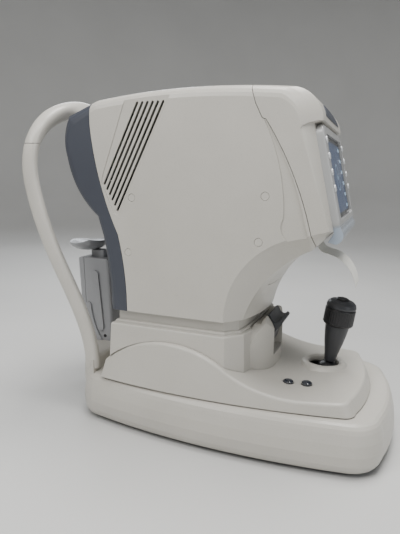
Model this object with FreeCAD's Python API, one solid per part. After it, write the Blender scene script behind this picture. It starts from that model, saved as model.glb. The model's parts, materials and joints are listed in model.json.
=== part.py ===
"""Table-top autorefractor: base, moving stage, joystick, measuring head and headrest.

Frame, in millimetres: +X runs from the patient to the operator, +Y to the operator's
right and +Z up. The origin is on the table under the middle of the instrument.
"""
import math
import os

import FreeCAD
import Part

# ---- driving dimensions ----------------------------------------------------------

WALL = 3.0             # moulded cover thickness
SEAM = 0.7             # visible joint between two covers
RUN_FIT = 0.05         # radial clearance of a pin or shaft in its hole
CLEAR = 0.5            # clearance between moving neighbours

FOOT_Z = 6.0           # height of the rubber feet
PLATE_Z = 9.0          # top of the steel base plate
DECK_Z = 65.0          # flat top of the base cover
SKIRT_Z = 66.5         # lower edge of the stage skirt
LEDGE_Z = 146.5        # lower ledge of the collar
STEP_Z = 150.5         # upper ledge of the collar
NECK_TOP_Z = 188.0     # top of the wall that the head slides over
HEAD_Z = 165.0         # lower edge of the head covers
HEAD_TOP_Z = 444.0     # top of the head beside its crown
HEAD_HALF = 105.0      # half width of the head
HEAD_ROUND = 12.0      # rounding of the head's long edges
SIDE_FLAT = 83.0       # half width of the flat part of the neck's operator end

SCREEN_TILT = 13.0     # lean of the display, degrees
SCREEN_MID = (162.0, 340.0)
SCREEN_DEEP = 9.0      # thickness of the display frame
SCREEN_HALF = 93.0     # half width of the display frame

SHAFT_Z = 36.0         # height of the cross shaft
SHAFT_R = 5.0
PINION_MODULE = 1.5
PINION_TEETH = 16
RACK_Y = 98.0          # distance of each rack from the centre plane
LIFT_X = -40.0         # place of the lift screw and guides
GUIDE_Y = 45.0
GUIDE_R = 6.0

STICK = (157.6, 26.0, 72.0)   # joystick pivot
GRIP_ZERO = (157.6, 26.0, 45.0)   # grip heights are measured from here, along the stick
STICK_RING_X = 152.0          # middle of the raised ring in the deck
STICK_LEAN = 8.0              # lean of the joystick towards the operator, degrees
EYE_Z = 366.0                 # height of the optical axis

LEVER_PIN = (80.0, 118.0)     # lock lever pivot, X and Z
LEVER_HALF = 26.0             # half width of the lock lever
LEVER_SLOT = 27.0             # half width of the slot it moves in
NECK_INSET = 8.5              # neck wall, inside the collar's outline
STAGE_ROUND = 4.5             # rounding of the stage's top edges
CHIN_BUTTONS = [(118.0, -58.0), (141.0, -54.0)]   # chinrest up and down buttons
CHIN_X = -198.0               # chin post axis
CHIN_TOP = 216.0              # top of the chin column
GEARBOX_TOP = 108.0           # top of the chin motor's gearbox
GEARBOX_STEP = 100.0          # underside of the gearbox where it carries the screw
ARCH_SPLIT_Z = 383.0          # joint between headrest legs and arch
LEG_FOOT_Z = 70.0             # foot of each headrest leg, sunk into the base's cowl
BAND_DEEP = 10.5              # half depth of the headrest band, patient to operator
LEG_WIDE = 7.5                # half width of a leg
CROWN_WIDE = 13.0             # half height of the crown

OPENING = (-32.0, 58.0, 68.0)      # deck opening: X from, X to, half width
COWL_TOP = 86.0                    # top of the cowl that the headrest stands on
SWITCH_AT = (-34.0, 125.0, 34.0)   # middle of the rocker's face
SWITCH_PIN_Y = 121.0               # rocker's pin
COVER_HALF = 58.0                  # half width of the printer cover
KEY_Y = 86.5                       # distance of the display keys from the centre plane
KEY_RISES = [44.0, 26.0, 8.0, -10.0]
PLUGS = [(-82.0, 314.0), (90.0, 320.0), (-88.0, 244.0), (84.0, 267.0)]
PAPER_ROLL = (92.0, 272.0)         # roll axis, X and Z


def vec(x, y, z):
    return FreeCAD.Vector(x, y, z)


# ---- outlines --------------------------------------------------------------------
# An outline is a closed list of (start, middle or None, end) with 2-D points.

def outline(start, *steps):
    """A step is a point for a line, or (middle, end) for an arc."""
    pieces = []
    here = start
    for step in steps:
        if isinstance(step[0], tuple):
            pieces.append((here, step[0], step[1]))
            here = step[1]
        else:
            pieces.append((here, None, step))
            here = step
    if math.dist(here, start) > 1e-6:
        pieces.append((here, None, start))
    return pieces


def plan(patient_apex, side, operator_apex):
    """Plan outline, symmetric about Y = 0, from its near side and the two end apexes."""
    start = side[0]
    steps = [((patient_apex, 0.0), start)] + list(side[1:])
    last = side[-1][1] if isinstance(side[-1][0], tuple) else side[-1]
    steps.append(((operator_apex, 0.0), (last[0], -last[1])))
    points = [start] + [s[1] if isinstance(s[0], tuple) else s for s in side[1:]]
    for index in range(len(side) - 1, 0, -1):
        target = (points[index - 1][0], -points[index - 1][1])
        step = side[index]
        if isinstance(step[0], tuple):
            steps.append(((step[0][0], -step[0][1]), target))
        else:
            steps.append(target)
    return outline((start[0], -start[1]), *steps)


def circle_centre(a, b, c):
    d = 2 * (a[0] * (b[1] - c[1]) + b[0] * (c[1] - a[1]) + c[0] * (a[1] - b[1]))
    sq = [p[0] ** 2 + p[1] ** 2 for p in (a, b, c)]
    x = (sq[0] * (b[1] - c[1]) + sq[1] * (c[1] - a[1]) + sq[2] * (a[1] - b[1])) / d
    y = (sq[0] * (c[0] - b[0]) + sq[1] * (a[0] - c[0]) + sq[2] * (b[0] - a[0])) / d
    return (x, y)


def unit(v):
    size = math.hypot(v[0], v[1])
    return (v[0] / size, v[1] / size)


def directions(piece):
    """Unit tangents of a piece at its start, middle and end."""
    a, m, b = piece
    chord = unit((b[0] - a[0], b[1] - a[1]))
    if m is None:
        return chord, chord, chord
    centre = circle_centre(a, m, b)
    turn = (m[0] - a[0]) * (b[1] - m[1]) - (m[1] - a[1]) * (b[0] - m[0])
    sign = 1 if turn > 0 else -1
    found = []
    for p in (a, m, b):
        radial = unit((p[0] - centre[0], p[1] - centre[1]))
        found.append((-sign * radial[1], sign * radial[0]))
    return tuple(found)


def inset(pieces, distance):
    """Move every edge of a closed outline inwards, or outwards if distance is negative."""
    area = sum(a[0] * b[1] - a[1] * b[0] for a, m, b in pieces)
    side = 1 if area > 0 else -1
    tangents = [directions(piece) for piece in pieces]

    def moved(point, t1, t2):
        n1 = (-side * t1[1], side * t1[0])
        n2 = (-side * t2[1], side * t2[0])
        scale = distance / (1 + n1[0] * n2[0] + n1[1] * n2[1])
        return (point[0] + scale * (n1[0] + n2[0]), point[1] + scale * (n1[1] + n2[1]))

    count = len(pieces)
    corners = []
    for i in range(count):
        corners.append(moved(pieces[i][0], tangents[i - 1][2], tangents[i][0]))
    result = []
    for i, (a, m, b) in enumerate(pieces):
        middle = None if m is None else moved(m, tangents[i][1], tangents[i][1])
        result.append((corners[i], middle, corners[(i + 1) % count]))
    return result


def wire(pieces, place):
    edges = []
    for a, m, b in pieces:
        if m is None:
            edges.append(Part.LineSegment(place(a), place(b)).toShape())
        else:
            edges.append(Part.Arc(place(a), place(m), place(b)).toShape())
    return Part.Wire(edges)


def at_z(z):
    return lambda p: vec(p[0], p[1], z)


def at_y(y):
    return lambda p: vec(p[0], y, p[1])


def at_x(x):
    return lambda p: vec(x, p[0], p[1])


def upright(pieces, z_low, z_high):
    """Prism of a plan outline between two heights."""
    return Part.Face(wire(pieces, at_z(z_low))).extrude(vec(0, 0, z_high - z_low))


def across(pieces, y_low, y_high):
    """Prism of a side-view outline between two Y planes."""
    return Part.Face(wire(pieces, at_y(y_low))).extrude(vec(0, y_high - y_low, 0))


def along(pieces, x_low, x_high):
    """Prism of a front-view outline, in Y and Z, between two X planes."""
    return Part.Face(wire(pieces, at_x(x_low))).extrude(vec(x_high - x_low, 0, 0))


def stack(sections):
    """Ruled solid through (outline, place) sections that share their number of edges."""
    return Part.makeLoft([wire(pieces, place) for pieces, place in sections], True, True)


def box(x_low, x_high, y_low, y_high, z_low, z_high):
    size = (x_high - x_low, y_high - y_low, z_high - z_low)
    return Part.makeBox(*size, vec(x_low, y_low, z_low))


def rod(start, direction, radius, length):
    return Part.makeCylinder(radius, length, vec(*start), vec(*direction))


def turned(profile, centre):
    """Solid of revolution about the vertical through centre, from (radius, height) points."""
    points = [vec(centre[0] + r, centre[1], centre[2] + h) for r, h in profile]
    face = Part.Face(Part.makePolygon(points + points[:1]))
    return face.revolve(vec(*centre), vec(0, 0, 1), 360)


def fused(shapes):
    joined = shapes[0].fuse(list(shapes[1:])) if len(shapes) > 1 else shapes[0]
    return joined.removeSplitter()


def group(shapes):
    return Part.makeCompound(shapes)


def mirrored(shape):
    return shape.mirror(vec(0, 0, 0), vec(0, 1, 0))


def both_sides(shape):
    return [shape, mirrored(shape)]


# ---- base ------------------------------------------------------------------------

BASE_SIDE = [(-178.0, -78.0), ((-168.0, -96.0), (-150.0, -108.0)),
             ((40.0, -130.0), (200.0, -119.5)), ((226.0, -106.0), (239.0, -78.0))]
BASE_PLAN = plan(-205.0, BASE_SIDE, 250.0)
BASE_WALL = [(FOOT_Z, 6.0), (10.0, 3.2), (16.0, 1.0), (28.0, 0.0), (42.0, 1.5), (54.0, 4.2),
             (59.0, 6.0), (62.6, 8.6), (64.5, 12.0), (DECK_Z, 16.0)]
COWL_SIDE = [(-180.0, -72.0), ((-173.0, -87.0), (-164.0, -94.0)), (-151.5, -97.0)]


def cowl_plan():
    start, curve, end = COWL_SIDE
    return outline((start[0], -start[1]), ((-200.0, 0.0), start), curve, end,
                   (end[0], -end[1]), (curve[1][0], -curve[1][1]),
                   ((curve[0][0], -curve[0][1]), (start[0], -start[1])))


def base_outer():
    tray = stack([(inset(BASE_PLAN, d), at_z(z)) for z, d in BASE_WALL])
    cowl = stack([(inset(cowl_plan(), 0.0), at_z(DECK_Z - 15.0)),
                  (inset(cowl_plan(), 1.0), at_z(COWL_TOP - 4.0)),
                  (inset(cowl_plan(), 2.2), at_z(COWL_TOP - 1.2)),
                  (inset(cowl_plan(), 5.0), at_z(COWL_TOP))])
    return fused([tray, cowl])


def base_cavity():
    tray = stack([(inset(BASE_PLAN, d + WALL), at_z(z - WALL)) for z, d in BASE_WALL])
    cowl = upright(inset(cowl_plan(), 8.0), DECK_Z - 15.0, COWL_TOP - WALL)
    return tray, cowl


def base_cover(legs):
    tray, cowl = base_cavity()
    cover = base_outer().cut(tray).cut(cowl).cut(group(legs))
    x_low, x_high, half = OPENING
    cover = cover.cut(box(x_low, x_high, -half, half, DECK_Z - 10, DECK_Z + 10))
    cover = cover.cut(rod((-176.0, 0.0, COWL_TOP - 10.0), (0, 0, 1), 13.0, 20.0))
    cover = cover.cut(box(-104.5, -55.5, 100.0, 140.0, 19.5, 48.5))
    cover = cover.cut(box(-44.5, -23.5, 100.0, 140.0, 26.5, 41.5))
    return cover.cut(box(-300, 300, -200, 200, -10, FOOT_Z + 0.01))


def base_plate():
    return upright(inset(BASE_PLAN, 11.0), FOOT_Z + 0.5, PLATE_Z)


def rubber_feet():
    feet = []
    for x in (-132.0, 196.0):
        for y in (-82.0, 82.0):
            feet.append(turned([(0, 0), (13.0, 0), (15.0, 2.0), (15.0, FOOT_Z + 0.5),
                                (0, FOOT_Z + 0.5)], (x, y, 0.0)))
    return group(feet)


def tooth_gap_row(count, pitch, height, top, root):
    """Rack outline with its teeth pointing up and a gap centred on X = 0."""
    half = count // 2
    points = [(-half * pitch, 0.0)]
    for i in range(-half, half):
        middle = (i + 0.5) * pitch
        points += [(middle - root, height - 2.8), (middle - top, height),
                   (middle + top, height), (middle + root, height - 2.8)]
    points.append((half * pitch, 0.0))
    return outline(*points)


def pitch_radius():
    return PINION_MODULE * PINION_TEETH / 2


def drive_racks():
    pitch = math.pi * PINION_MODULE
    rack_top = SHAFT_Z - pitch_radius() + 1.2
    row = tooth_gap_row(20, pitch, rack_top - PLATE_Z, 0.45, 1.0)
    rack = across(row, RACK_Y - 5.0, RACK_Y + 5.0)
    rack.translate(vec(2 * pitch, 0, PLATE_Z))
    return group(both_sides(rack))


def power_inlet():
    """Inlet socket, flush with the curved wall of the base."""
    body = box(-104.0, -56.0, 104.0, 130.0, 20.0, 48.0)
    body = body.common(upright(inset(BASE_PLAN, 1.6), 0.0, 60.0))
    body = body.cut(box(-98.0, -62.0, 108.0, 130.0, 24.0, 44.0))
    pins = []
    for x, z in ((-87.0, 31.0), (-73.0, 31.0), (-80.0, 37.0)):
        pins.append(box(x - 1.0, x + 1.0, 107.0, 113.0, z - 2.5, z + 2.5))
    return fused([body] + pins)


def power_switch():
    profile = outline((-6.5, -7.0), (6.5, -7.0), (6.5, 0.2), (0.0, -1.4), (-6.5, 1.6))
    x_low = SWITCH_AT[0] - 9.5
    face = Part.Face(wire(profile, lambda p: vec(x_low, SWITCH_AT[1] + p[1], SWITCH_AT[2] + p[0])))
    rocker = face.extrude(vec(19.0, 0, 0))
    return fused([rocker, rod((x_low - 0.8, SWITCH_PIN_Y, SWITCH_AT[2]), (1, 0, 0), 1.5, 20.6)])


def power_supply():
    case = box(-128.0, -58.0, -48.0, 48.0, PLATE_Z, 44.0)
    slots = [box(-120.0 + 12 * i, -115.0 + 12 * i, -30.0, 30.0, 42.5, 46.0) for i in range(5)]
    return case.cut(group(slots))


def main_board():
    board = box(66.0, 196.0, -106.0, -54.0, 15.0, 16.6)
    posts = [rod((x, y, PLATE_Z), (0, 0, 1), 3.0, 6.0) for x in (72.0, 190.0)
             for y in (-100.0, -60.0)]
    chips = [box(84.0 + 28 * i, 100.0 + 28 * i, -92.0, -72.0, 16.6, 20.0 + 3 * (i % 2))
             for i in range(4)]
    return fused([board] + posts + chips)


# ---- headrest --------------------------------------------------------------------

# Centre line of one half of the headrest, from the base to the crown.
LEG_LINE = [(-160.0, 86.0, 58.0), (-160.5, 89.0, 104.0), (-172.5, 92.5, 150.0),
            (-207.0, 97.5, 228.0), (-234.3, 103.0, 312.0), (-239.5, 104.0, 352.0),
            (-236.0, 97.5, 388.0), (-228.5, 77.0, 415.0), (-222.5, 40.0, 431.0)]
CROWN = (-220.5, 0.0, 436.0)


def oval(centre, tangent, deep, wide):
    """Rounded band section across a tangent, its deep axis kept square to Y."""
    flat = vec(tangent.z, 0, -tangent.x)
    if flat.Length < 0.2:
        flat = vec(1.0, 0, 0.5)
    deep_axis = (flat - tangent * flat.dot(tangent)).normalize()
    wide_axis = tangent.cross(deep_axis)
    points = []
    count = 16
    for i in range(count):
        angle = 2 * math.pi * i / count
        c, q = math.cos(angle), math.sin(angle)
        u = math.copysign(abs(c) ** 0.8, c) * deep
        v = math.copysign(abs(q) ** 0.8, q) * wide
        points.append(centre + deep_axis * u + wide_axis * v)
    curve = Part.BSplineCurve()
    curve.interpolate(points, PeriodicFlag=True)
    return Part.Wire([curve.toShape()])


def headrest():
    """Whole headrest before it is cut into legs and arch."""
    far = [vec(x, y, z) for x, y, z in LEG_LINE]
    near = [vec(x, -y, z) for x, y, z in LEG_LINE[::-1]]
    line = Part.BSplineCurve()
    line.interpolate(far + [vec(*CROWN)] + near)
    count = 41
    low, high = line.FirstParameter, line.LastParameter
    rings = []
    for i in range(count):
        at = low + (high - low) * i / (count - 1)
        centre = line.value(at)
        share = blend_at(centre.z, 380.0, CROWN[2])
        wide = LEG_WIDE + (CROWN_WIDE - LEG_WIDE) * share
        rings.append(oval(centre, line.tangent(at)[0], BAND_DEEP, wide))
    return Part.makeLoft(rings, True, False)


def headrest_parts():
    whole = headrest()
    legs = whole.common(box(-300, -100, -150, 150, LEG_FOOT_Z, ARCH_SPLIT_Z - SEAM))
    far = legs.common(box(-300, -100, 0, 150, 0, 500))
    arch = whole.common(box(-300, -100, -150, 150, ARCH_SPLIT_Z, 500))
    return mirrored(far), far, arch


def forehead_pad(arch):
    """Soft pad on the patient side of the arch's crown."""
    rings = []
    for y in (-50.0, -48.5, -45.0, -38.0, -25.0, -10.0, 10.0, 25.0, 38.0, 45.0, 48.5, 50.0):
        full = math.sqrt(1.0 - (y / 51.5) ** 4)
        drop = 5.5 * (y / 50.0) ** 2
        centre = vec(CROWN[0] - 10.0, y, CROWN[2] - 1.0 - drop)
        rings.append(oval(centre, vec(0, 1, 0), 7.5 * full, 10.0 * full))
    return Part.makeLoft(rings, True, False).cut(arch)


def chin_column():
    body = outline((-222.0, CHIN_TOP), (-174.0, CHIN_TOP), (-170.0, CHIN_TOP - 4.0),
                   (-164.0, COWL_TOP), (-195.5, COWL_TOP), ((-215.0, 114.0), (-222.5, 150.0)),
                   (-226.0, CHIN_TOP - 5.0))
    column = across(body, -22.0, 22.0)
    tall = [e for e in column.Edges if e.BoundBox.ZLength > 25.0 and e.BoundBox.YLength < 1.0]
    column = column.makeFillet(5.0, tall)
    rib = outline((-199.5, 190.0), ((-193.5, 197.0), (-187.5, 190.0)), (-180.0, 108.0),
                  ((-185.0, 102.0), (-191.0, 107.0)))
    foot = outline((-193.0, COWL_TOP), ((-205.5, 112.0), (-212.0, 138.0)),
                   ((-208.0, 146.0), (-202.0, 139.0)), ((-196.0, 112.0), (-183.0, COWL_TOP)))
    ribs = [across(rib, -25.0, -20.0), across(foot, -24.6, -20.0)]
    column = fused([column] + both_sides(group(ribs)))
    seam = outline((-215.4, 230.0), (-214.6, 230.0), (-211.6, 140.0), (-212.4, 140.0))
    groove = across(seam, -40.0, 40.0).cut(across(seam, -21.0, 21.0))
    bore = box(CHIN_X - 12.5, CHIN_X + 12.5, -9.5, 9.5, GEARBOX_TOP, CHIN_TOP + 5.0)
    column = column.cut(groove).cut(bore)
    return column.cut(box(-192.5, -167.5, -15.5, 15.5, COWL_TOP - 5.0, GEARBOX_TOP + CLEAR)).cut(
        box(CHIN_X - 5.5, -167.5, -15.5, 15.5, GEARBOX_STEP - CLEAR, GEARBOX_TOP + CLEAR))


def chin_motor():
    """Motor hanging in the cowl and the gearbox that carries the chin screw."""
    can = rod((-176.0, 0.0, 52.0), (0, 0, 1), 12.0, COWL_TOP - 52.0)
    low = box(-192.0, -168.0, -15.0, 15.0, COWL_TOP, GEARBOX_TOP)
    high = box(CHIN_X - 5.0, -168.0, -15.0, 15.0, GEARBOX_STEP, GEARBOX_TOP)
    return fused([can, low, high])


def chin_screw():
    return rod((CHIN_X, 0.0, GEARBOX_TOP + CLEAR), (0, 0, 1), 3.5, 80.0)


def chin_post():
    post = box(CHIN_X - 12.0, CHIN_X + 12.0, -9.0, 9.0, 115.0, 227.0)
    upright_edges = [e for e in post.Edges if e.BoundBox.ZLength > 100.0]
    post = post.makeFillet(3.0, upright_edges)
    return post.cut(rod((CHIN_X, 0.0, 110.0), (0, 0, 1), 4.0, 85.5))


def chin_cup():
    """Shallow dish, wider than deep, with a raised lip towards the patient."""
    rim = plan(-246.0, [(-236.0, -27.0), ((-216.0, -35.0), (-198.0, -27.0))], -188.0)
    dish = stack([(inset(rim, 17.0), at_z(227.0)), (inset(rim, 9.0), at_z(229.5)),
                  (inset(rim, 2.5), at_z(234.0)), (inset(rim, 0.3), at_z(238.0)),
                  (inset(rim, 0.0), at_z(243.0)), (inset(rim, 1.2), at_z(254.0))])
    sweep = outline((-260.0, 270.0), (-260.0, 240.0), (-246.0, 241.0),
                    ((-218.0, 239.5), (-186.0, 252.0)), (-170.0, 262.0), (-170.0, 270.0))
    dish = dish.cut(across(sweep, -60.0, 60.0))
    hollow = rod((-222.0, -60.0, 340.0), (0, 1, 0), 100.0, 120.0)
    bowl = Part.makeSphere(62.0, vec(-217.0, 0.0, 297.0))
    return dish.cut(bowl.common(hollow.fuse(box(-300, -150, -60, 60, 200, 260))))


# ---- X and Y drive ---------------------------------------------------------------

def shaft_carrier():
    bar = box(-20.0, 20.0, -92.0, 92.0, 14.0, 20.0)
    ears = [box(-11.0, 11.0, y, y + 7.0, 14.0, SHAFT_Z + 10.0) for y in (-92.0, 85.0)]
    rollers = [box(x, x + 8.0, -80.0, 80.0, 12.5, 14.0) for x in (-20.0, 12.0)]
    carrier = fused([bar] + ears + rollers)
    return carrier.cut(rod((0, -120, SHAFT_Z), (0, 1, 0), SHAFT_R + RUN_FIT, 240.0))


def cross_shaft():
    return rod((0, -106.0, SHAFT_Z), (0, 1, 0), SHAFT_R, 212.0)


def pinion_wheels():
    """Two gears whose teeth point down into the rack gaps at rest."""
    outer = pitch_radius() + 1.2
    root = pitch_radius() - 1.7
    points = []
    for i in range(PINION_TEETH):
        angle = -math.pi / 2 + 2 * math.pi * i / PINION_TEETH
        for radius, half in ((root, 1.0), (outer, 0.5), (outer, -0.5), (root, -1.0)):
            at = angle - half / radius
            points.append((radius * math.cos(at), SHAFT_Z + radius * math.sin(at)))
    gear = across(outline(*points), RACK_Y - 4.0, RACK_Y + 4.0)
    gear = gear.cut(rod((0, 80, SHAFT_Z), (0, 1, 0), SHAFT_R, 40.0))
    return group(both_sides(gear))


# ---- stage -----------------------------------------------------------------------

STAGE_LOW = plan(-139.5, [(-134.0, -107.0), ((17.0, -118.5), (190.0, -101.0)),
                          ((199.5, -96.0), (204.0, -84.0))], 217.0)
STAGE_HIGH = plan(-120.0, [(-115.0, -99.0), ((10.0, -110.0), (160.0, -93.0)),
                           ((168.0, -88.0), (172.0, -77.0))], 184.0)


def sweep_profile():
    """Side view of the stage's top: a long hump that falls to the flat operator deck."""
    return outline((-150.0, 40.0), (-150.0, 66.0), (-128.0, 91.0), ((-34.0, 129.5), (52.0, 103.0)),
                   ((90.0, 87.5), (144.0, 81.0)), (240.0, 84.5), (240.0, 40.0))


def stage_solid(wall):
    skirt = stack([(inset(STAGE_LOW, wall), at_z(SKIRT_Z)),
                   (inset(STAGE_HIGH, wall), at_z(SKIRT_Z + 70.0))])
    return skirt.common(across(inset(sweep_profile(), wall), -150.0, 150.0))


def eased_stage():
    """Stage body with its long top edges rounded."""
    body = stage_solid(0.0)
    rim = []
    for edge in body.Edges:
        middle = edge.valueAt((edge.FirstParameter + edge.LastParameter) / 2)
        box_x, box_y, box_z = edge.BoundBox.XLength, edge.BoundBox.YLength, edge.BoundBox.ZLength
        outside = abs(middle.y) > 60.0 or middle.x < -110.0 or middle.x > 190.0
        if outside and middle.z > SKIRT_Z + 2.0 and box_z < 45.0 and max(box_x, box_y) > 6.0:
            rim.append(edge)
    return body.makeFillet(STAGE_ROUND, rim)


COLLAR_PLAN = plan(-117.0, [(-116.0, -104.5), (45.0, -104.5), (64.0, -84.0)], 71.0)


def collar_inner(wall, z_low, z_high):
    return upright(inset(COLLAR_PLAN, wall), z_low, z_high)


def stage_cover():
    shell = eased_stage().cut(stage_solid(WALL))
    shell = shell.cut(box(-300, 300, -200, 200, 0, SKIRT_Z))
    shell = shell.cut(collar_inner(6.0, 60.0, 160.0))
    x, y, deck = STICK_RING_X, STICK[1], 81.0
    ring = turned([(21.0, 0.0), (34.0, 0.0), (32.5, 1.6), (29.5, 5.2), (26.5, 7.0),
                   (23.5, 7.0), (21.4, 5.0), (21.0, 3.0)], (x, y, deck - 0.8))
    shell = shell.cut(rod((x, y, 60.0), (0, 0, 1), 22.0, 40.0))
    shell = fused([shell, ring])
    shell = shell.cut(rod((x, y, 60.0), (0, 0, 1), 21.0, 40.0))
    for bx, by in CHIN_BUTTONS:
        shell = shell.cut(rod((bx, by, 60.0), (0, 0, 1), 7.2, 40.0))
    return shell


def chin_button(place):
    dome = turned([(0, 0), (8.6, 0), (8.6, 1.4), (6.7, 1.4), (6.7, 8.4), (5.4, 9.4), (3.0, 10.0),
                   (0, 10.2)], (place[0], place[1], 75.4))
    return dome


def stage_frame():
    """Plate under the stage cover, with the slide blocks and the gimbal's ears."""
    plate = box(-108.0, 186.0, -84.0, 84.0, 69.0, 72.0)
    blocks = [box(-13.0, 13.0, y, y + 14.0, 26.0, 69.0) for y in (-24.0, 10.0)]
    x, y, z = STICK
    ears = [box(x - 5, x + 5, y + side, y + side + 4.0, 69.0, z + 4.0) for side in (-19.0, 15.0)]
    plate = plate.cut(box(128.0, 180.0, y - 15.0, y + 15.0, 60.0, 80.0))
    frame = fused([plate] + blocks + ears)
    for bx, by in CHIN_BUTTONS:
        frame = frame.cut(rod((bx, by, 60.0), (0, 0, 1), 6.0, 20.0))
    frame = frame.cut(rod((0, -120, SHAFT_Z), (0, 1, 0), SHAFT_R + RUN_FIT, 240.0))
    return frame.cut(rod((x, y - 30.0, z), (0, 1, 0), 2.0 + RUN_FIT, 60.0))


def lever_housing(wall):
    """Rounded housing of the lock lever on the collar's operator end."""
    foot = outline((55.0, -66.0), (68.0, -66.0), ((83.5, -48.0), (91.0, -24.0)),
                   ((92.5, 0.0), (91.0, 24.0)), ((83.5, 48.0), (68.0, 66.0)), (55.0, 66.0))
    arch = outline((-66.0, 60.0), (-66.0, 124.0), ((-54.0, 148.0), (-29.0, 158.0)), (29.0, 158.0),
                   ((54.0, 148.0), (66.0, 124.0)), (66.0, 60.0))
    side = outline((50.0, 60.0), (50.0, 146.0), ((66.0, 150.0), (78.0, 156.0)), (80.0, 158.5),
                   ((89.5, 144.0), (94.0, 118.0)), (94.0, 60.0))
    body = upright(inset(foot, wall), 60.0, 160.0).common(along(inset(arch, wall), 40.0, 110.0))
    return body.common(across(inset(side, wall), -70.0, 70.0))


def lever_cheeks():
    """The housing with its slot for the lever and the pin's holes, open below."""
    floor = 104.0
    slot = box(74.6, 120.0, -LEVER_SLOT, LEVER_SLOT, floor, 200.0)
    kept = box(40.0, 120.0, -LEVER_SLOT - WALL, LEVER_SLOT + WALL, floor - WALL, 200.0)
    hollow = lever_housing(WALL).cut(kept)
    housing = lever_housing(0.0).cut(hollow).cut(slot)
    pin_hole = rod((LEVER_PIN[0], -LEVER_SLOT - 3.0, LEVER_PIN[1]), (0, 1, 0), 3.0 + RUN_FIT,
                   2 * (LEVER_SLOT + 3.0))
    housing = housing.cut(pin_hole).cut(upright(inset(COLLAR_PLAN, 0.5), 50.0, 200.0))
    head_path = upright(inset(COLLAR_PLAN, -9.0), STEP_Z + 1.0, 200.0)
    return housing.cut(head_path)


def neck_collar():
    """Stepped collar around the neck, with the lock lever's housing."""
    lower = stack([(inset(COLLAR_PLAN, -3.0), at_z(78.0)), (inset(COLLAR_PLAN, 0.0), at_z(144.5)),
                   (inset(COLLAR_PLAN, 0.6), at_z(145.8)), (inset(COLLAR_PLAN, 1.8), at_z(LEDGE_Z))])
    upper = stack([(inset(COLLAR_PLAN, 4.6), at_z(LEDGE_Z - 2)),
                   (inset(COLLAR_PLAN, 4.6), at_z(STEP_Z - 1.2)),
                   (inset(COLLAR_PLAN, 6.0), at_z(STEP_Z))])
    neck = upright(inset(COLLAR_PLAN, NECK_INSET), LEDGE_Z - 2, NECK_TOP_Z)
    solid = fused([lower, upper, neck])
    solid = solid.cut(collar_inner(WALL, 70.0, LEDGE_Z - WALL))
    solid = solid.cut(collar_inner(NECK_INSET + 2.4, 100.0, NECK_TOP_Z + 5))
    solid = fused([solid, lever_cheeks()])
    return solid.cut(across(inset(sweep_profile(), -0.2), -150.0, 150.0))


def lock_lever():
    """Paddle with a curled lip, on a pin between the housing's cheeks."""
    blade = outline((75.5, 118.0), ((80.0, 113.5), (84.5, 118.0)), (88.5, 132.0), (93.5, 140.0),
                    ((98.5, 145.0), (101.0, 150.5)), (97.5, 153.0), ((91.0, 150.0), (86.5, 154.0)),
                    (83.0, 160.0), (78.5, 156.5), (79.5, 146.0), (78.5, 134.0), (75.5, 124.0))
    lever = across(blade, -LEVER_HALF, LEVER_HALF)
    reach = LEVER_SLOT + 2.7
    pin = rod((LEVER_PIN[0], -reach, LEVER_PIN[1]), (0, 1, 0), 3.0, 2 * reach)
    return fused([lever, pin])


def lift_guides():
    rods = [rod((LIFT_X, y, 72.0), (0, 0, 1), GUIDE_R, 218.0) for y in (-GUIDE_Y, GUIDE_Y)]
    return group(rods)


def lift_motor():
    body = box(LIFT_X - 21, LIFT_X + 21, -21, 21, 72.0, 112.0)
    upright_edges = [e for e in body.Edges if e.BoundBox.ZLength > 30.0]
    body = body.makeChamfer(3.0, upright_edges)
    return body.cut(rod((LIFT_X, 0, 100.0), (0, 0, 1), 5.0 + RUN_FIT, 20.0))


def lift_screw():
    return rod((LIFT_X, 0, 101.0), (0, 0, 1), 5.0, 180.0)


# ---- joystick --------------------------------------------------------------------

def leaned(shape):
    shape.rotate(vec(*STICK), vec(0, 1, 0), STICK_LEAN)
    return shape


def gimbal_ring():
    """Ring that tilts on Y pins in the stage frame and carries the stick on X pins."""
    ring = turned([(9.0, -2.5), (13.0, -2.5), (13.0, 2.5), (9.0, 2.5)], STICK)
    pins = rod((STICK[0], STICK[1] - 18.5, STICK[2]), (0, 1, 0), 2.0, 37.0)
    pins = pins.cut(Part.makeSphere(10.0, vec(*STICK)))
    ring = fused([ring, pins])
    hole = rod((STICK[0] - 30, STICK[1], STICK[2]), (1, 0, 0), 1.5 + RUN_FIT, 60.0)
    return leaned(ring.cut(hole))


def joystick_shaft():
    """Stick with its gimbal pins and the dust dome that closes the deck hole."""
    core = turned([(0, -5.0), (3.5, -5.0), (5.5, -3.0), (5.5, 5.0), (5.0, 9.0), (5.0, 33.0),
                   (0, 33.0)], STICK)
    pins = rod((STICK[0] - 12.5, STICK[1], STICK[2]), (1, 0, 0), 1.5, 25.0)
    dome = Part.makeSphere(16.0, vec(*STICK)).cut(Part.makeSphere(14.5, vec(*STICK)))
    dome = dome.common(rod((STICK[0], STICK[1], STICK[2] + 9.0), (0, 0, 1), 20.0, 20.0))
    return leaned(fused([core, pins, dome]))


def joystick_grip():
    """Tapered stem, a core that carries the height ring, and the domed cap."""
    grip = turned([(0, 44.0), (7.8, 44.0), (8.2, 48.0), (10.4, 60.0), (13.0, 72.0), (15.2, 86.0),
                   (16.4, 97.0), (13.0, 97.6), (13.0, 122.5), (20.0, 122.5), (20.3, 125.0),
                   (19.0, 129.0), (16.0, 131.8), (11.5, 133.2), (9.4, 133.2), (9.4, 127.0),
                   (0, 127.0)], GRIP_ZERO)
    return leaned(grip.cut(rod(GRIP_ZERO, (0, 0, 1), 5.0, 60.0)))


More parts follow.
